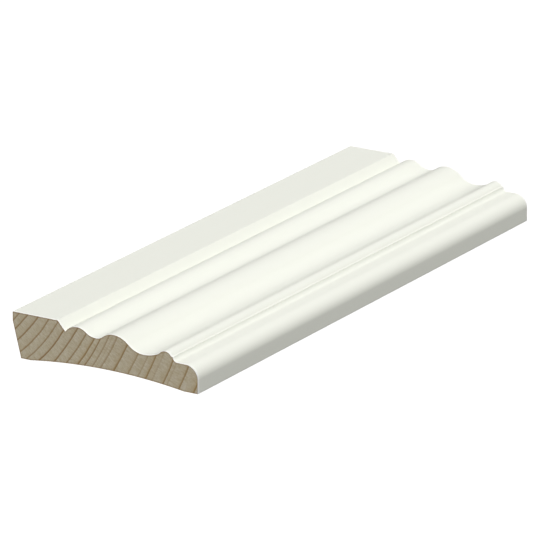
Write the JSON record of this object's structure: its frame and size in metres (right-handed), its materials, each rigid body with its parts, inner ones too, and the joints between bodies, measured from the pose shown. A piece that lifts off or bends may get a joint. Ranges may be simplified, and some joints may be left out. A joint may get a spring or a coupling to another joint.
{
  "type": "skirting board",
  "caption": "Short square-cut length of white-painted pine skirting board with a flat plinth, wave and cove mouldings, a bead, a round nose and a hollow back.",
  "frame": {"origin": "middle of the back, on the plane of the two lands that touch the wall", "axes": "+X across the board from its floor edge to its top edge, +Y along its length, +Z out of the wall towards the room; the board lies on its back as in the picture"},
  "size_m": [0.1, 0.3, 0.022],
  "materials": {
    "painted_pine": "satin white paint on planed pine, bare wood on the cut ends and the hollow back"
  },
  "bodies": {
    "root": {"skirting_board": "painted_pine"}
  },
  "joints": []
}
